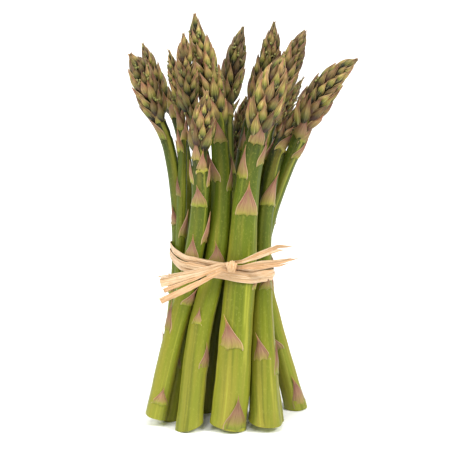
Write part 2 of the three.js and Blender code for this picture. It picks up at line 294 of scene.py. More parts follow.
def leaf_material(name, stops, edge, rim, dark_vein, pale_vein_and_highlight, green, ruddy, spread):
    """A scale leaf: coloured from its base to its tip, veined lengthwise, with a paler rim. The pale
    veins and rim are partly painted highlight, a head leaf's dark base is painted shade, and spears
    further back get painted shade.
    """
    shader = Shader(name)
    leaf, across, along, chance = shader.leaf()
    shade_and_warmth = shader.attribute("shade_and_warmth").outputs["Fac"]
    shift = shader.math("MULTIPLY", shader.math("SUBTRACT", chance, 0.5), 0.16)
    body = shader.ramp(shader.math("ADD", along, shift), stops)
    place = shader.stretch(leaf, (5, 1.3, 40))
    vein = shader.noise(place, 1.6, 4, 0.6)
    body = shader.tint(body, vein, 0.50, 0.68, 0.6, dark_vein)
    # painted highlight: the pale veins are partly the leaf's own paler lines and partly painted highlight
    body = shader.tint(body, vein, 0.47, 0.30, 0.5, pale_vein_and_highlight)
    blotch = shader.noise(shader.stretch(place, (0.35, 1.4, 1)), 1.0, 3)
    body = shader.tint(body, blotch, 0.5, 0.7, 0.5, green)
    body = shader.tint(body, shader.shuffle(chance, 13.0), 0.45, 1.0, 0.4, ruddy)
    from_middle = shader.math("ABSOLUTE", across)
    margin = shader.between(from_middle, 0.55, 0.95, 0, 0.55)
    margin = shader.math("MULTIPLY", margin, shader.between(along, 0.1, 0.4))
    body = shader.mix(margin, body, colour(edge))
    # the pale rim is partly the leaf's own pale margin and partly a painted highlight along the edge
    body = shader.tint(body, from_middle, 0.88, 0.97, 0.85, rim)
    own_shade = shader.between(shader.shuffle(chance, 7.0), 0, 1, *spread)
    # painted shade: spears further back darken all their leaves, times each leaf's own random shade
    shade = shader.math("MULTIPLY", shader.between(shade_and_warmth, 0, 1, 0.55, 0.98), own_shade)
    body = shader.mix(1.0, body, shader.grey(shade), "MULTIPLY")
    shader.set(**{
        "Base Color": body,
        "Roughness": 0.48,
        "Specular IOR Level": 0.3,
        "Normal": shader.bump(vein, 0.4, 0.2 * MM),
        "Subsurface Weight": 0.08,
        "Subsurface Radius": (1.0 * MM, 0.8 * MM, 0.4 * MM),
        "Subsurface Scale": 1.0,
    })
    return shader.material


def bud_material():
    shader = Shader("asparagus_bud")
    _, _, along, chance = shader.leaf()
    body = shader.ramp(along, [(0.0, "2a2e0e"), (0.45, "747834"), (0.8, "939048"), (1.0, "6e523a")])
    body = shader.tint(body, chance, 0.5, 1.0, 0.6, "7a6b46")
    shader.set(**{"Base Color": body, "Roughness": 0.5})
    return shader.material


def cut_material():
    """The cut end: pale, fibrous, with a greener ring under the skin."""
    shader = Shader("asparagus_cut_end")
    _, outward, _, _ = shader.leaf()
    grain = shader.attribute("grain").outputs["Vector"]
    dots = shader.noise(grain, 1.8, 3)
    body = shader.ramp(outward, [(0.0, "d3d6a4"), (0.7, "c6cc92"), (0.86, "a3ad5c"), (1.0, "8d9c45")])
    body = shader.tint(body, dots, 0.5, 0.68, 0.5, "a2a56b")
    shader.set(**{"Base Color": body, "Roughness": 0.6, "Normal": shader.bump(dots, 0.5, 0.3 * MM)})
    return shader.material


def raffia_material():
    """Dry leaf strip: straw-coloured, with long fibres and a slight sheen."""
    shader = Shader("raffia_strip")
    leaf, _, _, chance = shader.leaf()
    fibre = shader.noise(shader.stretch(leaf, (1, 0.05, 30)), 2.6, 5, 0.65)
    body = shader.ramp(fibre, RAFFIA_STRAW)
    warmth = shader.math("SUBTRACT", 1.3, shader.attribute("shade_and_warmth").outputs["Fac"])
    warmth = shader.math("MULTIPLY", shader.between(chance, 0.1, 1.0, 0.3, 1.0), warmth, clamp=True)
    body = shader.mix(warmth, body, colour("e6be92"), "MULTIPLY")
    stain = shader.noise(shader.stretch(leaf, (0.3, 0.16, 1)), 1.5, 3)
    body = shader.tint(body, stain, 0.55, 0.72, 0.5, "c08f58")
    shader.set(**{
        "Base Color": body,
        "Roughness": 0.52,
        "Specular IOR Level": 0.35,
        "Sheen Weight": 0.25,
        "Sheen Roughness": 0.4,
        "Normal": shader.bump(fibre, 0.45, 0.2 * MM),
    })
    return shader.material


# ---- meshes ----

STEM_SLOT, LEAF_SLOT, HEAD_SLOT, CUT_SLOT, BUD_SLOT = range(5)  # the materials of a spear
RAFFIA_SLOT = 0  # the only material of a raffia piece


class Surface:
    """Collects grids of points as one mesh, with a material and attributes for each grid."""

    def __init__(self):
        self.points, self.faces, self.slots = [], [], []
        self.values = {"leaf": [], "grain": [], "up": []}
        self.count = 0

    def add(self, points, faces, slot, **values):
        """points is n by 3 and faces is m by 4; each value is n numbers, or n by 3."""
        self.points.append(points)
        self.faces.append(faces + self.count)
        self.slots.append(np.full(len(faces), slot))
        for name, rows in self.values.items():
            width = 1 if name == "up" else 3
            given = values.get(name)
            if given is None:
                given = np.zeros(len(points) * width)
            rows.append(given.reshape(len(points), width))
        self.count += len(points)

    def build(self, name, materials, shade_and_warmth):
        points = np.concatenate(self.points)
        faces = np.concatenate(self.faces)
        mesh = bpy.data.meshes.new(name)
        mesh.vertices.add(len(points))
        mesh.vertices.foreach_set("co", points.ravel())
        mesh.loops.add(faces.size)
        mesh.loops.foreach_set("vertex_index", faces.ravel())
        mesh.polygons.add(len(faces))
        mesh.polygons.foreach_set("loop_start", np.arange(0, faces.size, 4))
        mesh.update(calc_edges=True)
        for material in materials:
            mesh.materials.append(material)
        mesh.polygons.foreach_set("material_index", np.concatenate(self.slots))
        mesh.polygons.foreach_set("use_smooth", np.ones(len(faces), bool))
        for attribute, rows in self.values.items():
            kind = "FLOAT" if attribute == "up" else "FLOAT_VECTOR"
            field = "value" if kind == "FLOAT" else "vector"
            layer = mesh.attributes.new(attribute, kind, "POINT")
            layer.data.foreach_set(field, np.concatenate(rows).ravel())
        layer = mesh.attributes.new("shade_and_warmth", "FLOAT", "POINT")
        layer.data.foreach_set("value", np.full(len(points), shade_and_warmth))
        mesh.validate()
        mesh.update()
        return add_object(name, mesh)


def grid_faces(rows, columns, closed=False, flip=False):
    """Quads over a grid of rows by columns; closed joins the last column to the first."""
    last = columns if closed else columns - 1
    i, j = np.meshgrid(np.arange(rows - 1), np.arange(last), indexing="ij")
    i, j = i.ravel(), j.ravel()
    k = (j + 1) % columns
    this, above = i * columns, (i + 1) * columns
    quads = np.stack([this + j, this + k, above + k, above + j], 1)
    return quads[:, ::-1] if flip else quads


def shell(outer, inner):
    """A thin closed sheet from two grids of points, outside and inside. Returns points and quads."""
    rows, columns = outer.shape[:2]
    size = rows * columns
    front = grid_faces(rows, columns)
    back = grid_faces(rows, columns, flip=True) + size
    index = np.arange(size).reshape(rows, columns)
    rim = np.concatenate([index[0, :-1], index[:-1, -1], index[-1, :0:-1], index[:0:-1, 0]])
    following = np.roll(rim, -1)
    sides = np.stack([rim, rim + size, following + size, following], 1)
    points = np.concatenate([outer.reshape(-1, 3), inner.reshape(-1, 3)])
    return points, np.concatenate([front, back, sides])


# ---- reading a spear back from its CAD solid ----

LEVEL = 6 * MM  # the solids' cross-sections are this far apart
STEP = 0.5 * MM  # spacing of the recovered middle line
FACET_RATIO = 1.012  # a round section's radius over that of a faceted one with the same area
CLEAR_OF_CUT = 14 * MM  # square cuts start this far up, where the slanted cut end is out of the way
CUT_BLEND = 8 * MM  # over this length they take over from the level ones
HEAD_FROM = 0.75  # heads are widest above this share of a spear's height
NECK_FROM = 0.6  # and stems narrowest above this one


def mesh_arrays(node):
    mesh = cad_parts[node].data
    points = np.array([v.co for v in mesh.vertices], float)
    edges = np.array([e.vertices for e in mesh.edges])
    return points, edges


def crossings(points, edges, axis, place):
    """Where a solid's edges pass through a plane across one axis."""
    a, b = points[edges[:, 0]], points[edges[:, 1]]
    through = (a[:, axis] - place) * (b[:, axis] - place) < 0
    a, b = a[through], b[through]
    share = (place - a[:, axis]) / (b[:, axis] - a[:, axis])
    return a + (b - a) * share[:, None]


def cross_section(points, edges, height):
    """Middle and area of the convex outline that a level plane cuts from a spear."""
    cut = crossings(points, edges, 2, height)[:, :2]
    around = cut.mean(0)
    cut = cut - around
    x, y = cut[np.argsort(np.arctan2(cut[:, 1], cut[:, 0]))].T
    next_x, next_y = np.roll(x, -1), np.roll(y, -1)
    cross = x * next_y - next_x * y
    area = cross.sum() / 2
    middle = np.array([((x + next_x) * cross).sum(), ((y + next_y) * cross).sum()]) / (6 * area)
    return [*(middle + around), height], area


def catmull_rom(points, steps):
    """A smooth line through points, with a number of steps between each two."""
    ends = np.concatenate([[2 * points[0] - points[1]], points, [2 * points[-1] - points[-2]]])
    line = []
    for i in range(len(points) - 1):
        a, b, c, d = ends[i:i + 4]
        for t in np.arange(steps) / steps:
            line.append(0.5 * (2 * b + (c - a) * t + (2 * a - 5 * b + 4 * c - d) * t ** 2
                               + (3 * b - 3 * c + d - a) * t ** 3))
    line.append(points[-1])
    return np.array(line)


def unit(vectors):
    return vectors / np.linalg.norm(vectors, axis=-1, keepdims=True)


class Spear:
    """A spear's middle line, radius and facing directions, by distance from its cut end."""

    def __init__(self, node):
        points, edges = mesh_arrays(node)
        top = points[:, 2].max()
        self.cut_plane(node)
        sections, areas = [], []
        height = math.ceil((self.cut_top + 0.3 * MM) / LEVEL) * LEVEL + 0.02 * MM
        while height < top - 0.8 * MM:
            middle, area = cross_section(points, edges, height)
            sections.append(middle)
            areas.append(area)
            height += LEVEL
        sections = np.array(sections + [points[points[:, 2].argmax()]])
        below_first = (sections[0][2] - self.cut_point[2]) / LEVEL
        first = sections[0] - (sections[1] - sections[0]) * below_first
        sections = np.concatenate([[first], sections])
        leans = unit(np.gradient(sections, axis=0))[:, 2]
        radii = np.sqrt(np.array(areas) * leans[1:-1] / math.pi) * FACET_RATIO
        radii = np.concatenate([[2 * radii[0] - radii[1]], radii, [0]])

        line = catmull_rom(sections, 12)
        radius = np.interp(np.linspace(0, len(radii) - 1, len(line)), np.arange(len(radii)), radii)
        along = np.concatenate([[0], np.cumsum(np.linalg.norm(np.diff(line, axis=0), axis=1))])
        self.length = along[-1]
        self.at = np.arange(0, self.length, STEP)
        self.middle = np.stack([np.interp(self.at, along, line[:, i]) for i in range(3)], 1)
        kernel = np.ones(9) / 9
        radius = np.interp(self.at, along, radius)
        padded = np.pad(radius, 4, mode="edge")
        self.radius = np.convolve(padded, kernel, "valid")
        self.tangent = unit(np.gradient(self.middle, axis=0))
        front = np.array([0.0, -1.0, 0.0])
        self.front = unit(front - self.tangent * (self.tangent @ front)[:, None])
        self.right = np.cross(self.tangent, self.front)

        self.measure_across(points, edges)

        upper = self.middle[:, 2] > HEAD_FROM * top
        self.widest = self.at[upper][self.radius[upper].argmax()]
        below = (self.middle[:, 2] > NECK_FROM * top) & (self.at < self.widest)
        self.neck = self.at[below][self.radius[below].argmin()]
        self.neck_radius = self.radius[below].min()

    def measure_across(self, points, edges):
        """Corrects the radius with cuts square to the middle line, clear of the cut end."""
        places, radii = [], []
        for s in np.arange(CLEAR_OF_CUT, self.length - 0.4 * MM, 1.5 * MM):
            here = self.look_up(self.middle, s)
            tangent, front, right = (self.look_up(t, s) for t in (self.tangent, self.front, self.right))
            beyond = (points - here) @ tangent
            a, b = edges[:, 0], edges[:, 1]
            through = beyond[a] * beyond[b] < 0
            a, b = a[through], b[through]
            share = beyond[a] / (beyond[a] - beyond[b])
            cut = points[a] + (points[b] - points[a]) * share[:, None] - here
            x, y = cut @ right, cut @ front
            order = np.argsort(np.arctan2(y - y.mean(), x - x.mean()))
            x, y = x[order], y[order]
            area = abs((x * np.roll(y, -1) - np.roll(x, -1) * y).sum()) / 2
            places.append(s)
            radii.append(math.sqrt(area / 3))  # twelve sides of corner radius r enclose 3 r^2
        places.append(self.length)
        radii.append(0.25 * MM)
        measured = np.interp(self.at, places, radii)
        share = np.clip((self.at - CLEAR_OF_CUT) / CUT_BLEND, 0, 1)
        self.radius = self.radius * (1 - share) + measured * share

    def cut_plane(self, node):
        """The cut end's middle, its downward normal, and how high its face reaches."""
        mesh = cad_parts[node].data
        facing_down = [p for p in mesh.polygons if p.normal.z < -0.8 and p.center.z < 12 * MM]
        weights = np.array([p.area for p in facing_down])
        centres = np.array([p.center for p in facing_down])
        self.cut_point = (centres * weights[:, None]).sum(0) / weights.sum()
        self.cut_normal = unit((np.array([p.normal for p in facing_down]) * weights[:, None]).sum(0))
        corners = {v for p in facing_down for v in p.vertices}
        self.cut_top = max(mesh.vertices[v].co.z for v in corners)

    def look_up(self, table, s):
        return np.stack([np.interp(s, self.at, table[:, i]) for i in range(3)], -1)

    def size(self, s):
        return np.interp(s, self.at, self.radius)

    def core(self, s):
        """The stem's own radius, which keeps narrowing inside the head."""
        share = np.clip((s - self.neck) / (self.length - self.neck), 0, 1)
        inside = self.neck_radius * (1 - 0.9 * share ** 1.2)
        return np.where(s < self.neck, self.size(s), np.minimum(inside, self.size(s) * 0.85 + 0.1 * MM))

    def above_cut(self, points):
        """Slides points that lie beyond the cut end back along the stem to its plane."""
        along = self.tangent[0]
        beyond = np.maximum((points - self.cut_point) @ self.cut_normal + 0.05 * MM, 0)
        return points - along * (beyond / (along @ self.cut_normal))[..., None]

    def place(self, s, facing, distance):
        """Points at a distance from the middle line. A facing of 0 is the front, and it turns right."""
        past = np.maximum(s - self.length, 0)[..., None]
        middle = self.look_up(self.middle, s) + past * self.tangent[-1]
        front = self.look_up(self.front, s)
        right = self.look_up(self.right, s)
        outward = front * np.cos(facing)[..., None] + right * np.sin(facing)[..., None]
        return middle + outward * distance[..., None]

    def distance_at_height(self, height):
        return float(np.interp(height, self.middle[:, 2], self.at))


# ---- the stem ----

AROUND = 72  # points round a stem
STEM_ROW = 1.3 * MM  # between two rows of them
STEM_END = 2.5 * MM  # the stem stops this far under the tip
CUT_REACH = 8 * MM  # rows this near the cut end shift to follow its slant
ROUNDING = [(2, 0.020), (3, 0.018), (5, 0.013), (9, 0.007), (14, 0.004)]  # lobes round it, depth
WAVES = [0.061, 0.033, 0.017]  # lengths of the slow changes of girth, in metres


def ridged_radius(spear, s, facing, leaves, rng):
    """The stem's radius with shallow facets, a swelling at each leaf and ridges below it."""
    radius = spear.core(s) * np.ones_like(facing)
    for lobes, depth in ROUNDING:
        phase, twist = rng.uniform(0, 6.28), rng.uniform(-5, 5)
        radius = radius * (1 + depth * np.cos(lobes * facing + phase + twist * s))
    wave = rng.uniform(0, 6.28, 3)
    for k, length in enumerate(WAVES):
        radius = radius * (1 + 0.008 * np.sin(s / length * 6.28 + wave[k]))
    radius = radius * (1 + 0.03 * np.exp(-s / (40 * MM)))
    for leaf in leaves:
        below = leaf["s"] - s
        apart = (facing - leaf["facing"] + math.pi) % (2 * math.pi) - math.pi
        half = leaf["width"] / 2 / spear.size(leaf["s"])
        swelling = np.exp(-(below / (3.2 * MM)) ** 2) * np.exp(-(apart / (half * 1.1)) ** 2)
        radius = radius + 0.3 * MM * swelling
        fade = np.where(below > 0, np.exp(-below / (26 * MM)), np.exp(-(below / (0.8 * MM)) ** 2))
        for side in (-1, 1):
            radius = radius + 0.2 * MM * fade * np.exp(-((apart - side * half * 0.9) / 0.2) ** 2)
    return radius


def add_stem(surface, spear, leaves, rng):
    end = spear.length - STEM_END
    s = np.linspace(0, end, max(int(end / STEM_ROW), 20))
    facing = np.arange(AROUND) / AROUND * 2 * math.pi
    s_grid, facing_grid = np.meshgrid(s, facing, indexing="ij")
    radius = ridged_radius(spear, s_grid, facing_grid, leaves, rng)
    points = spear.place(s_grid, facing_grid, radius)

    # The lowest rows slide along the stem onto the plane of the cut.
    along = spear.tangent[0]
    normal = spear.cut_normal
    over = (spear.cut_point - points[0]) @ normal / (along @ normal)
    rows = int(CUT_REACH / STEM_ROW)
    for row in range(rows):
        fade = (1 - row / rows) ** 1.5
        points[row] += along * (over * fade)[:, None]

    around = [np.cos(facing_grid) * radius, np.sin(facing_grid) * radius]
    grain = np.stack([*around, s_grid * 0.12], -1) / MM  # drawn out along the stem
    up = s_grid / spear.length
    faces = grid_faces(len(s), AROUND, closed=True)
    surface.add(points.reshape(-1, 3), faces, STEM_SLOT, grain=grain.reshape(-1, 3), up=up.ravel())
    add_end_cap(surface, spear, points[0], grain[0], rng)
    close_ring(surface, points[-1], STEM_SLOT, flip=False)


def add_end_cap(surface, spear, edge, grain, rng):
    """The cut face: rings that shrink to the middle, a little uneven, with a rounded rim."""
    rings = np.array([1.0, 0.985, 0.93, 0.8, 0.6, 0.4, 0.2, 0.03])
    middle = edge.mean(0)
    points, grains, shares = [], [], []
    for index, share in enumerate(rings):
        ring = middle + (edge - middle) * share
        if index > 1:
            ring = ring - spear.cut_normal * rng.uniform(0.02, 0.16, (len(edge), 1)) * MM
        points.append(ring)
        grains.append(grain * share)
        shares.append(np.full(len(edge), share))
    points, shares = np.concatenate(points), np.concatenate(shares)
    leaf = np.stack([shares, shares * 0, shares * 0], -1)
    faces = grid_faces(len(rings), len(edge), closed=True, flip=True)
    surface.add(points, faces, CUT_SLOT, leaf=leaf, grain=np.concatenate(grains))
    close_ring(surface, points[-len(edge):], CUT_SLOT, flip=True)


def close_ring(surface, ring, slot, flip):
    """Fills a small ring with quads, taking its points in opposite pairs."""
    count = len(ring)
    faces = np.array([[i, i + 1, count - 2 - i, count - 1 - i] for i in range(count // 2 - 1)])
    surface.add(ring, faces if flip else faces[:, ::-1], slot)


# ---- scale leaves and buds ----

GOLDEN_ANGLE = math.radians(137.5)  # from one leaf of a head to the next
LEAF_CROWDING = 0.42  # the share of a head leaf's area that it has to itself
LEAF_NARROWING = 0.44  # how much narrower a head's top leaves are than its lowest
TUCK = 2.7 * MM  # how deep the base of a head leaf sits, where the head is thick
BUD_SIDES, BUD_RINGS = 8, 6
BUD_HEIGHT = 3.2  # over its radius


def add_leaf(surface, spear, leaf, rng):
    """A lone leaf on the stem: broad at its base, curving in to a long tip that stands off the stem."""
    across, along = np.linspace(-1, 1, 17), np.linspace(0, 1, 23)
    v, u = np.meshgrid(along, across, indexing="ij")
    length, width = leaf["length"], leaf["width"]
    base_radius = spear.size(leaf["s"])
    taper = 0.5 * (1 + np.cos(math.pi * v ** leaf["point"]))
    reach = taper * (1 + 0.10 * np.sin(math.pi * np.clip(v / 0.4, 0, 1))) + 0.012
    corners = 0.05 * length * np.abs(u) ** 5 * (1 - v) ** 6
    spur = 0.07 * length * np.exp(-((u - leaf["spur"]) / 0.12) ** 2) * (1 - v) ** 10
    wobble = 0.02 * length * np.sin(u * rng.uniform(4, 7) + rng.uniform(0, 6)) * (1 - v) ** 3
    s = leaf["s"] + length * v - corners - spur - wobble
    facing = leaf["facing"] + u * reach * width / 2 / base_radius + leaf["skew"] * v ** 2 / base_radius
    rim = np.exp(-((v - 0.04) / 0.05) ** 2)
    proud = 0.20 + 0.34 * rim + 1.25 * leaf["bulge"] * (1 - u ** 2) * np.sin(math.pi * v ** 0.75)
    proud += leaf["lift"] * v ** 2.5 + 0.16 * (1 - v) * np.abs(u) ** 6
    proud += 0.05 * np.sin(u * 9 + leaf["chance"] * 6) * (1 - v)
    radius = spear.core(np.minimum(s, leaf["s"] + length * 0.6)) + proud * MM
    outer = spear.place(s, facing, radius)
    thickness = (0.34 + 0.3 * rim) * (1 - 0.45 * v) * MM
    inner = spear.place(s + 0.2 * MM * (v < 0.01), facing, radius - thickness)
    points, faces = shell(spear.above_cut(outer), spear.above_cut(inner))
    marks = np.stack([u, v, np.full_like(u, leaf["chance"])], -1).reshape(-1, 3)
    up = np.tile((s / spear.length).ravel(), 2)
    surface.add(points, faces, LEAF_SLOT, leaf=np.concatenate([marks, marks]), up=up)


def add_head_leaf(surface, spear, s0, facing0, length, width, splay, rng):
    """One of the overlapping leaves of a head: its base tucked in, its tip standing over the next."""
    across, along = np.linspace(-1, 1, 11), np.linspace(0, 1, 13)
    v, u = np.meshgrid(along, across, indexing="ij")
    s = s0 + length * v
    swell = 0.72 + 0.28 * np.sin(np.clip(v / 0.36, 0, 1) * math.pi / 2)
    taper = 0.5 * (1 + np.cos(math.pi * np.clip((v - 0.20) / 0.80, 0, 1) ** rng.uniform(0.92, 1.2)))
    reach = swell * taper + 0.015
    outline = np.maximum(spear.size(np.minimum(s, spear.length - 0.2 * MM)), 0.3 * MM)
    turn_radius = max(float(spear.size(min(s0 + 0.35 * length, spear.length))), 0.9 * MM)
    skew = rng.uniform(-0.16, 0.16)
    facing = facing0 + u * reach * width / 2 / turn_radius + skew * v ** 2
    share = np.clip(outline / (5 * MM), 0.25, 1)
    crown = (0.22 * (1 - u ** 2) - 0.12 * u ** 2) * width * np.sin(math.pi * np.clip(v, 0, 1) ** 0.7)
    keel = 0.12 * MM * np.exp(-(u / 0.14) ** 2) * v
    radius = outline - TUCK * share * (1 - v) ** 1.25 + (crown + keel) * share
    radius = radius + (0.1 + rng.uniform(0.0, 0.6) * v ** 4) * MM * share + splay * MM * v ** 2
    radius = np.maximum(radius, 0.10 * MM)
    outer = spear.place(s, facing, radius)
    inner = spear.place(s, facing, np.maximum(radius - (0.50 - 0.25 * v) * MM, 0.02 * MM))
    points, faces = shell(outer, inner)
    marks = np.stack([u, v, np.full_like(u, rng.uniform())], -1).reshape(-1, 3)
    up = np.tile((s / spear.length).ravel(), 2)
    surface.add(points, faces, HEAD_SLOT, leaf=np.concatenate([marks, marks]), up=up)


def add_bud(surface, spear, s, facing, distance, size, chance):
    """A small pointed bud that sits upright in the axil of a leaf."""
    rings, sides = BUD_RINGS, BUD_SIDES
    level = np.linspace(0.06, 0.97, rings)
    turn = np.arange(sides) / sides * 2 * math.pi
    level_grid, turn_grid = np.meshgrid(level, turn, indexing="ij")
    girth = np.sin(math.pi * level_grid ** 0.85) ** 0.8 * size
    middle = spear.place(np.array([s]), np.array([facing]), np.array([distance]))[0]
    up = spear.look_up(spear.tangent, np.array([s]))[0]
    out = spear.place(np.array([s]), np.array([facing]), np.array([distance + MM]))[0] - middle
    out = out / np.linalg.norm(out)
    side = np.cross(up, out)
    round_it = out * np.cos(turn_grid)[..., None] + side * np.sin(turn_grid)[..., None]
    points = middle + (level_grid[..., None] - 0.5) * up * size * BUD_HEIGHT + round_it * girth[..., None]
    marks = np.stack([turn_grid * 0, level_grid, np.full_like(turn_grid, chance)], -1).reshape(-1, 3)
    points = points.reshape(-1, 3)
    surface.add(points, grid_faces(rings, sides, closed=True), BUD_SLOT, leaf=marks)
    close_ring(surface, points[:sides], BUD_SLOT, flip=True)
    close_ring(surface, points[-sides:], BUD_SLOT, flip=False)


def add_bud_cluster(surface, spear, s, facing, rng):
    """A few unopened flower buds crowded into one gap."""
    girth = max(float(spear.size(s)), 1.2 * MM)
    for _ in range(rng.integers(3, 6)):
        size = rng.uniform(0.38, 0.62) * MM
        near = float(spear.size(s)) - rng.uniform(0.0, 1.0) * MM
        turned = facing + rng.uniform(-1.1, 1.1) * MM / girth
        add_bud(surface, spear, s + rng.uniform(-1.2, 1.2) * MM, turned, near, size, rng.uniform())


def add_head(surface, spear, look, rng):
    """Leaves in a golden-angle spiral from the neck to the tip, with buds in the looser part."""
    facing = rng.uniform(0, 6.28)
    s = spear.neck + look["loose"] * MM
    top = spear.length
    while s < top - 1.8 * MM:
        share = np.clip((s - spear.neck) / (top - spear.neck), 0, 1)
        width = look["leaf"] * MM * (1 - LEAF_NARROWING * share) * rng.uniform(0.86, 1.16)
        length = width * rng.uniform(1.45, 1.95)
        length = max(min(length, top + 0.5 * MM - s), 2.4 * MM)
        splay = look["splay"] * share
        turned = facing + rng.normal(0, 0.09)
        add_head_leaf(surface, spear, s, turned, length, width, splay, rng)
        girth = max(float(spear.size(s + 0.3 * length)), 1.0 * MM)
        if share < 0.8 and rng.uniform() < look["buds"]:
            side = rng.choice((-1, 1)) * rng.uniform(0.45, 0.62)
            up_leaf = length * rng.uniform(0.45, 0.8)
            add_bud_cluster(surface, spear, s + up_leaf, facing + side * width / girth, rng)
        s += max(width * length * LEAF_CROWDING / (2 * math.pi * girth), 0.3 * MM)
        facing += GOLDEN_ANGLE


# ---- how each spear looks ----

# tone: painted shade, 1 for the palest spears and lower for the spears further back, which lie in shade.
# leaf: the width of the head's lowest leaves in mm.
# buds: the share of the head's leaves that have a cluster of buds beside them.
# loose: where the head's leaves start, in mm above the neck.
# splay: how far the leaves near the tip stand off it, in mm.
# leaves: the lone leaves up the stem, as [height in mm, facing in degrees, length in mm, width
# in mm, how far the tip leans to the right in mm, and for some how far it stands off in mm].
SPEAR_LOOKS = {
    "front_middle": dict(shade_and_warmth=0.9, leaf=9.4, buds=0.12, loose=1, splay=0.3, leaves=[
        [3, 27, 19, 13.5, -1.5, 2], [45, -20, 16.5, 13.5, -4], [75, 78, 8, 6, 1],
        [114, 8, 18, 11.5, -0.8], [132.5, -50, 17, 8, 1.2], [140, 74, 17, 9, 2],
        [150.5, 5, 15, 9, 1],
    ]),
    "tall_left": dict(shade_and_warmth=0.74, leaf=8.4, buds=0.6, loose=2, splay=0.6, leaves=[
        [86, 5, 13, 9.5, -2.2], [34, 56, 14, 9, -2.5], [56, -24, 9, 5, 0], [124, 62, 13, 6, 0],
        [129, -48, 13, 7, -1.5], [148.5, 6, 12, 6.6, -1],
    ]),
    "front_left": dict(shade_and_warmth=0.86, leaf=8.6, buds=0.1, loose=6, splay=0.3, leaves=[
        [118, -5, 12, 8.5, -1], [99, 76, 16, 7, 0.8], [90, -14, 14, 7.5, -0.3], [66, 40, 10, 9, 2],
        [51, -70, 16, 8, 0.8], [13, 5, 10, 8, 0.5], [136, 24, 13, 6.5, -0.3], [142.5, -35, 13, 7, -1.1],
        [130, -80, 12, 5, 0.5], [128, 85, 12, 5, 0.5],
    ]),
    "left_slender": dict(shade_and_warmth=0.7, leaf=6.0, buds=0.3, loose=-2, splay=0.3, leaves=[
        [99, 42, 14, 5.5, 1.5], [154, -30, 13, 5.5, -0.5], [143, -60, 13, 5.5, 0], [120, -60, 10, 4, 0],
        [149, 55, 13, 5.5, 0.5],
    ]),
    "left_pointed": dict(shade_and_warmth=0.6, leaf=7.2, buds=0.2, loose=-6, splay=0.4, leaves=[
        [30, -40, 12, 7, 0], [62, 30, 12, 7, 0], [96, -20, 12, 6, 0], [126, -60, 11, 5, 0],
        [134, 24, 14, 7, 0], [143, -72, 15, 8, -1], [149, 12, 14, 8, 0],
    ]),
    "far_left": dict(shade_and_warmth=0.62, leaf=7.8, buds=0.4, loose=8, splay=0.9, leaves=[
        [158, 14, 15, 9, -1], [150, -88, 19, 10, -2, 7], [104, -40, 11, 5, 0], [66, -70, 12, 6, 0],
        [32, -100, 12, 7, 0], [128, 120, 12, 6, 0],
    ]),
    "far_left_back": dict(shade_and_warmth=0.62, leaf=6.6, buds=0.3, loose=1, splay=0.4, leaves=[
        [157, 20, 12, 6.5, 0], [136, -60, 11, 5, 0], [70, 170, 14, 8, 0], [104, 150, 12, 6, 0],
        [38, 200, 14, 8, 0], [126, 190, 12, 6, 0],
    ]),
    "back_middle": dict(shade_and_warmth=0.15, leaf=7.4, buds=0.4, loose=2, splay=0.4, leaves=[
        [159, 0, 14, 6.5, -0.5], [130, 33, 11, 5, -1], [60, 150, 12, 7, 0], [110, 190, 12, 6, 0],
    ]),
    "back_right": dict(shade_and_warmth=0.4, leaf=7.4, buds=0.35, loose=1, splay=0.5, leaves=[
        [141, -30, 12, 6, 0], [120, 160, 12, 7, 0], [58, 175, 14, 8, 0], [94, 200, 12, 7, 0],
        [136, 200, 12, 6, 0],
    ]),
    "back_short": dict(shade_and_warmth=0.46, leaf=6.0, buds=0.3, loose=0, splay=0.4, leaves=[
        [118, -30, 10, 5, 0], [98, 165, 12, 7, 0], [62, 190, 13, 8, 0], [30, 150, 14, 8, 0],
        [122, 120, 11, 5, 0],
    ]),
    "upper_right": dict(shade_and_warmth=0.5, leaf=7.4, buds=0.3, loose=1, splay=0.6, leaves=[
        [138, 60, 12, 7, 0], [150, 150, 12, 7, 0], [112, 170, 12, 6, 0], [34, 120, 14, 8, 0],
    ]),
    "back_small": dict(shade_and_warmth=0.38, leaf=5.0, buds=0.5, loose=0, splay=0.4, leaves=[
        [130, 40, 9, 4, 0], [110, 160, 10, 5, 0], [88, 190, 10, 6, 0], [54, 165, 13, 8, 0],
        [24, 200, 14, 8, 0],
    ]),
    "far_right": dict(shade_and_warmth=0.68, leaf=8.2, buds=0.12, loose=4, splay=0.4, leaves=[
        [141, 62, 12, 8, 2.5], [149, 75, 14, 9, 3], [151, -20, 15, 9, 2], [35, -12, 10, 7, -2],
        [3, 42, 18, 9, -2], [104, 150, 12, 6, 0], [66, 110, 12, 6, 0], [128, 170, 12, 7, 0],
    ]),
    "right": dict(shade_and_warmth=0.64, leaf=6.2, buds=0.3, loose=0, splay=0.3, leaves=[
        [116, 18, 18, 9, 2], [143, 34, 16, 8, 3], [37, -5, 14, 8, -3], [29, 80, 17, 8, -1.5],
        [72, 25, 10, 7, 0.5],
    ]),
}


def make_leaves(spear, look, rng):
    """The lone leaves up a stem, as distances along it."""
    leaves = []
    for height, facing, length, width, lean, *lift in look["leaves"]:
        leaves.append({
            "s": spear.distance_at_height(height * MM),
            "facing": math.radians(facing),
            "length": length * MM,
            "width": width * MM,
            "skew": lean * MM,
            "bulge": rng.uniform(0.5, 1.0),
            "lift": lift[0] if lift else rng.uniform(0.4, 1.6),
            "point": rng.uniform(0.80, 1.0),
            "spur": rng.uniform(-0.25, 0.25),
            "chance": rng.uniform(),
        })
    return leaves


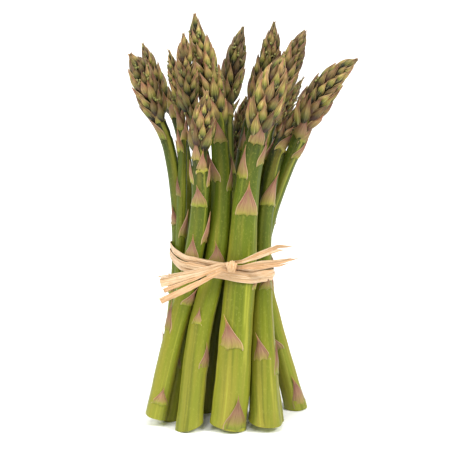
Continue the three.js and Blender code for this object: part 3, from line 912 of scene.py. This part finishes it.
def make_spear(name, look, materials, seed):
    rng = np.random.default_rng(seed)
    spear = Spear(f"spear_{name}")
    surface = Surface()
    leaves = make_leaves(spear, look, rng)
    add_stem(surface, spear, leaves, rng)
    for leaf in leaves:
        add_leaf(surface, spear, leaf, rng)
    add_head(surface, spear, look, rng)
    piece = surface.build(f"asparagus_{name}", materials, look["shade_and_warmth"])
    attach(piece, "root")
    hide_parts(f"spear_{name}")


# ---- raffia ----

STRIP_COLUMNS = 15  # points across a strip
BAND_POINTS = 220  # points round a band
OUTLINE_DIRECTIONS = 720  # directions in which a band's outline is felt for
BAND_TONE, TAIL_TONE, KNOT_TONE = 1, 0.8, 0.6  # the lower, the warmer the straw
BAND_STRIP, TAIL_STRIP, KNOT_STRIP = 0.24 * MM, 0.2 * MM, 0.4 * MM  # thickness

# strips of a band: how far above its middle, how wide, and how far out from the stems, in mm
LOWER_STRIPS = [(-0.7, 3.8, 0.3), (0.9, 3.2, 0.6), (0.1, 1.7, 0.85)]
UPPER_STRIPS = [(-0.3, 2.5, 0.3), (0.4, 2.2, 0.65)]

# windings of the knot: how far to the right (1 is its edge), tilt in radians, width in mm, and
# size as a share of the knot's
WINDINGS = [
    (-0.45, 0.25, 2.2, 0.86), (0.05, -0.1, 2.6, 1.0), (0.5, -0.35, 2.0, 0.88), (0.1, 1.1, 1.8, 0.92),
]

def ragged(rng, count, size, softness):
    """Gentle random variation along a strip."""
    values = rng.normal(0, 1, count + 6 * softness)
    window = np.hanning(2 * softness + 1)
    values = np.convolve(values, window / math.sqrt((window ** 2).sum()), "same")
    return values[3 * softness:3 * softness + count] * size


def add_strip(surface, line, outward, widths, thickness, rng, curl=0.06, fold=0.10):
    """A flat strip along a line, creased lengthwise. outward is its face's normal at each point."""
    columns = STRIP_COLUMNS
    across = np.linspace(-1, 1, columns)
    tangent = unit(np.gradient(line, axis=0))
    outward = unit(outward - tangent * (outward * tangent).sum(1)[:, None])
    side = np.cross(outward, tangent)
    count = len(line)
    left = widths / 2 * (1 + ragged(rng, count, 0.05, 4))
    right = widths / 2 * (1 + ragged(rng, count, 0.05, 4))
    reach = np.where(across[None] < 0, left[:, None], right[:, None]) * across[None]
    phase, creases = rng.uniform(0, 6.28), rng.uniform(5, 8)
    wander = ragged(rng, count, 0.8, 14)
    height = curl * (widths / 2)[:, None] * (1 - across ** 2)[None]
    height = height + fold * MM * np.sin(across[None] * creases + phase + wander[:, None])
    outer = line[:, None] + side[:, None] * reach[..., None]
    outer = outer + outward[:, None] * (height + thickness / 2)[..., None]
    edge = thickness * (1 - 0.5 * across ** 4)
    inner = outer - outward[:, None] * edge[None, :, None]
    points, faces = shell(outer, inner)
    run = np.concatenate([[0], np.cumsum(np.linalg.norm(np.diff(line, axis=0), axis=1))]) / MM
    marks = np.stack([
        reach / MM,
        np.repeat(run[:, None], columns, 1),
        np.full((count, columns), rng.uniform(0, 1)),
    ], -1).reshape(-1, 3)
    surface.add(points, faces[:, ::-1], RAFFIA_SLOT, leaf=np.concatenate([marks, marks]))


def band_outline(node, count):
    """The taut outline of a CAD band, as points round it, its outward normals and its tilted height."""
    points, _ = mesh_arrays(node)
    angle = np.arange(OUTLINE_DIRECTIONS) / OUTLINE_DIRECTIONS * 2 * math.pi
    normals = np.stack([np.cos(angle), np.sin(angle)], 1)
    touched = points[(normals @ points[:, :2].T).argmax(1)]
    corners = [touched[0]]
    for point in touched[1:]:
        if np.linalg.norm(point[:2] - corners[-1][:2]) > 0.05 * MM:
            corners.append(point)
    ring = np.array(corners + [corners[0]])[:, :2]
    run = np.concatenate([[0], np.cumsum(np.linalg.norm(np.diff(ring, axis=0), axis=1))])
    even = np.linspace(0, run[-1], count + 1)
    line = np.stack([np.interp(even, run, ring[:, i]) for i in range(2)], 1)
    plane = np.linalg.lstsq(np.c_[points[:, :2], np.ones(len(points))], points[:, 2], rcond=None)[0]
    height = line @ plane[:2] + plane[2]
    tangent = unit(np.gradient(line, axis=0))
    outward = np.stack([tangent[:, 1], -tangent[:, 0], np.zeros(len(line))], 1)
    return np.c_[line, height], outward


def make_band(node, name, strips, material, seed):
    """Strips of raffia wound round the stems, crossing a little as they go."""
    rng = np.random.default_rng(seed)
    surface = Surface()
    line, outward = band_outline(node, BAND_POINTS)
    turn = np.linspace(0, 2 * math.pi, len(line))
    for rise, width, proud in strips:
        wave = rng.uniform(0, 6.28, 3)
        swing = np.sin(turn + wave[0]) * 0.35 + np.sin(2 * turn + wave[1]) * 0.2
        drift = (rise + swing) * MM
        out = (proud - 0.9 + 0.08 * np.sin(3 * turn + wave[2])) * MM
        path = line + outward * out[:, None] + np.array([0, 0, 1.0]) * drift[:, None]
        path = smooth_ring(path, 6)
        change = 0.14 * np.sin(2 * turn + wave[1]) + 0.06 * np.sin(7 * turn + wave[0])
        add_strip(surface, path, outward, width * MM * (1 + change), BAND_STRIP, rng)
    piece = surface.build(name, [material], BAND_TONE)
    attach(piece, "root")
    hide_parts(node)


def smooth_ring(path, rounds):
    """Softens a closed path, whose last point repeats its first."""
    body = path[:-1]
    for _ in range(rounds):
        body = (np.roll(body, 1, 0) + 2 * body + np.roll(body, -1, 0)) / 4
    return np.concatenate([body, body[:1]])


def make_knot(material):
    """The knot: strips wound tightly round the knot's middle, most of them upright."""
    rng = np.random.default_rng(77)
    low, high = (np.array(corner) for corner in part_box("raffia_knot"))
    middle, half = (low + high) / 2, (high - low) / 2
    surface = Surface()
    turn = np.linspace(0, 2 * math.pi, 61)
    for shift, tilt, width, size in WINDINGS:
        ring = np.stack([np.full_like(turn, shift * half[0]) + 0.05 * half[0] * np.sin(2 * turn),
                         np.cos(turn) * half[1] * size, np.sin(turn) * half[2] * size], 1)
        cosine, sine = math.cos(tilt), math.sin(tilt)
        spin = np.array([[cosine, 0, -sine], [0, 1, 0], [sine, 0, cosine]])
        ring = ring @ spin.T
        outward = np.stack([turn * 0, np.cos(turn), np.sin(turn)], 1) @ spin.T
        widths = width * MM * (1 - 0.15 * np.abs(np.sin(turn * 1.5 + rng.uniform(0, 6))))
        add_strip(surface, middle + ring, outward, widths, KNOT_STRIP, rng, curl=0.22, fold=0.14)
    piece = surface.build("knot_windings", [material], KNOT_TONE)
    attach(piece, "root")
    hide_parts("raffia_knot")


def tail_path(node, count, from_left):
    """Middle line and width of a loose end, starting beside the knot."""
    points, edges = mesh_arrays(node)
    low, high = points[:, 0].min(), points[:, 0].max()
    places = np.linspace(low + 0.02 * MM, high - 0.02 * MM, count)
    if not from_left:
        places = places[::-1]
    line, widths = [], []
    for place in places:
        cut = crossings(points, edges, 0, place)
        line.append([place, cut[:, 1].mean(), (cut[:, 2].min() + cut[:, 2].max()) / 2])
        widths.append(cut[:, 2].max() - cut[:, 2].min())
    return np.array(line), np.array(widths)


def make_tail(node, name, torn, fibres, material, seed):
    """A loose end: strips side by side that part and fray as they leave the knot."""
    rng = np.random.default_rng(seed)
    surface = Surface()
    middle_x = (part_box("raffia_knot")[0].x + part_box("raffia_knot")[1].x) / 2
    low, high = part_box(node)
    line, widths = tail_path(node, 60, (low.x + high.x) / 2 > middle_x)
    for _ in range(5):
        line[1:-1] = (line[:-2] + 2 * line[1:-1] + line[2:]) / 4
    share = np.linspace(0, 1, len(line))
    start = np.array([middle_x, line[0][1] + 1.0 * MM, line[0][2]])
    line[:4] = start + (line[4] - start) * np.linspace(0, 0.9, 4)[:, None]
    slots = np.cumsum([0] + [f[0] for f in fibres]) / sum(f[0] for f in fibres)
    for k, (_, ends, spread) in enumerate(fibres):
        centre = (slots[k] + slots[k + 1]) / 2 - 0.5
        last = max(int(ends * len(line)), 8)
        path = line.copy()
        path[:, 2] += widths * centre * (1 + 0.2 * abs(spread) * share ** 2)
        path[:, 1] += 0.22 * MM * (k % 2) - 0.35 * MM * np.sin(share * 5 + rng.uniform(0, 6)) * share
        path[:, 2] += spread * MM * share ** 3
        own = widths * (slots[k + 1] - slots[k]) * 1.15
        own = own * np.clip(0.6 + share * 4, 0, 1)
        if torn:
            own = own * np.clip((ends - share) / 0.16, 0.12, 1) ** 0.8
        twist = 0.3 * np.sin(share * 4 + rng.uniform(0, 6)) * share
        outward = np.stack([twist * 0, -np.cos(twist), np.sin(twist)], 1)
        add_strip(surface, path[:last], outward[:last], own[:last], TAIL_STRIP, rng)
    piece = surface.build(name, [material], TAIL_TONE)
    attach(piece, "root")
    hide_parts(node)


# Each loose end: its CAD node, its name, whether it runs out to ragged points instead of a
# straight cut, and its fibres, as [share of the width, how far along the loose end it reaches,
# and how far it strays up in mm].
TAILS = [
    ("raffia_tail_left_top", "loose_end_left_top", False,
     [(0.5, 0.97, -0.1), (0.5, 1.0, 0.3)]),
    ("raffia_tail_left_middle", "loose_end_left_middle", False,
     [(0.36, 0.95, -0.7), (0.64, 1.0, 0.2)]),
    ("raffia_tail_left_bottom", "loose_end_left_bottom", False,
     [(1.0, 1.0, 0.0)]),
    ("raffia_tail_right_upper", "loose_end_right_upper", True,
     [(0.5, 0.84, -0.6), (0.5, 1.0, 0.1), (0.2, 0.9, 0.5)]),
    ("raffia_tail_right_lower", "loose_end_right_lower", True,
     [(0.4, 0.82, -0.5), (0.5, 1.0, 0.1), (0.3, 0.9, 0.3)]),
]


def make_raffia():
    material = raffia_material()
    make_band("raffia_band_lower", "band_strips_lower", LOWER_STRIPS, material, 31)
    make_band("raffia_band_upper", "band_strips_upper", UPPER_STRIPS, material, 32)
    make_knot(material)
    for seed, (node, name, torn, fibres) in enumerate(TAILS, 41):
        make_tail(node, name, torn, fibres, material, seed)


# ---- the whole scene ----

def make_spears():
    materials = [
        stem_material(),
        leaf_material(**LONE_LEAF),
        leaf_material(**HEAD_LEAF),
        cut_material(),
        bud_material(),
    ]
    for seed, (name, look) in enumerate(SPEAR_LOOKS.items(), 11):
        make_spear(name, look, materials, seed)


make_camera()
make_lights()
make_floor()
make_spears()
make_raffia()
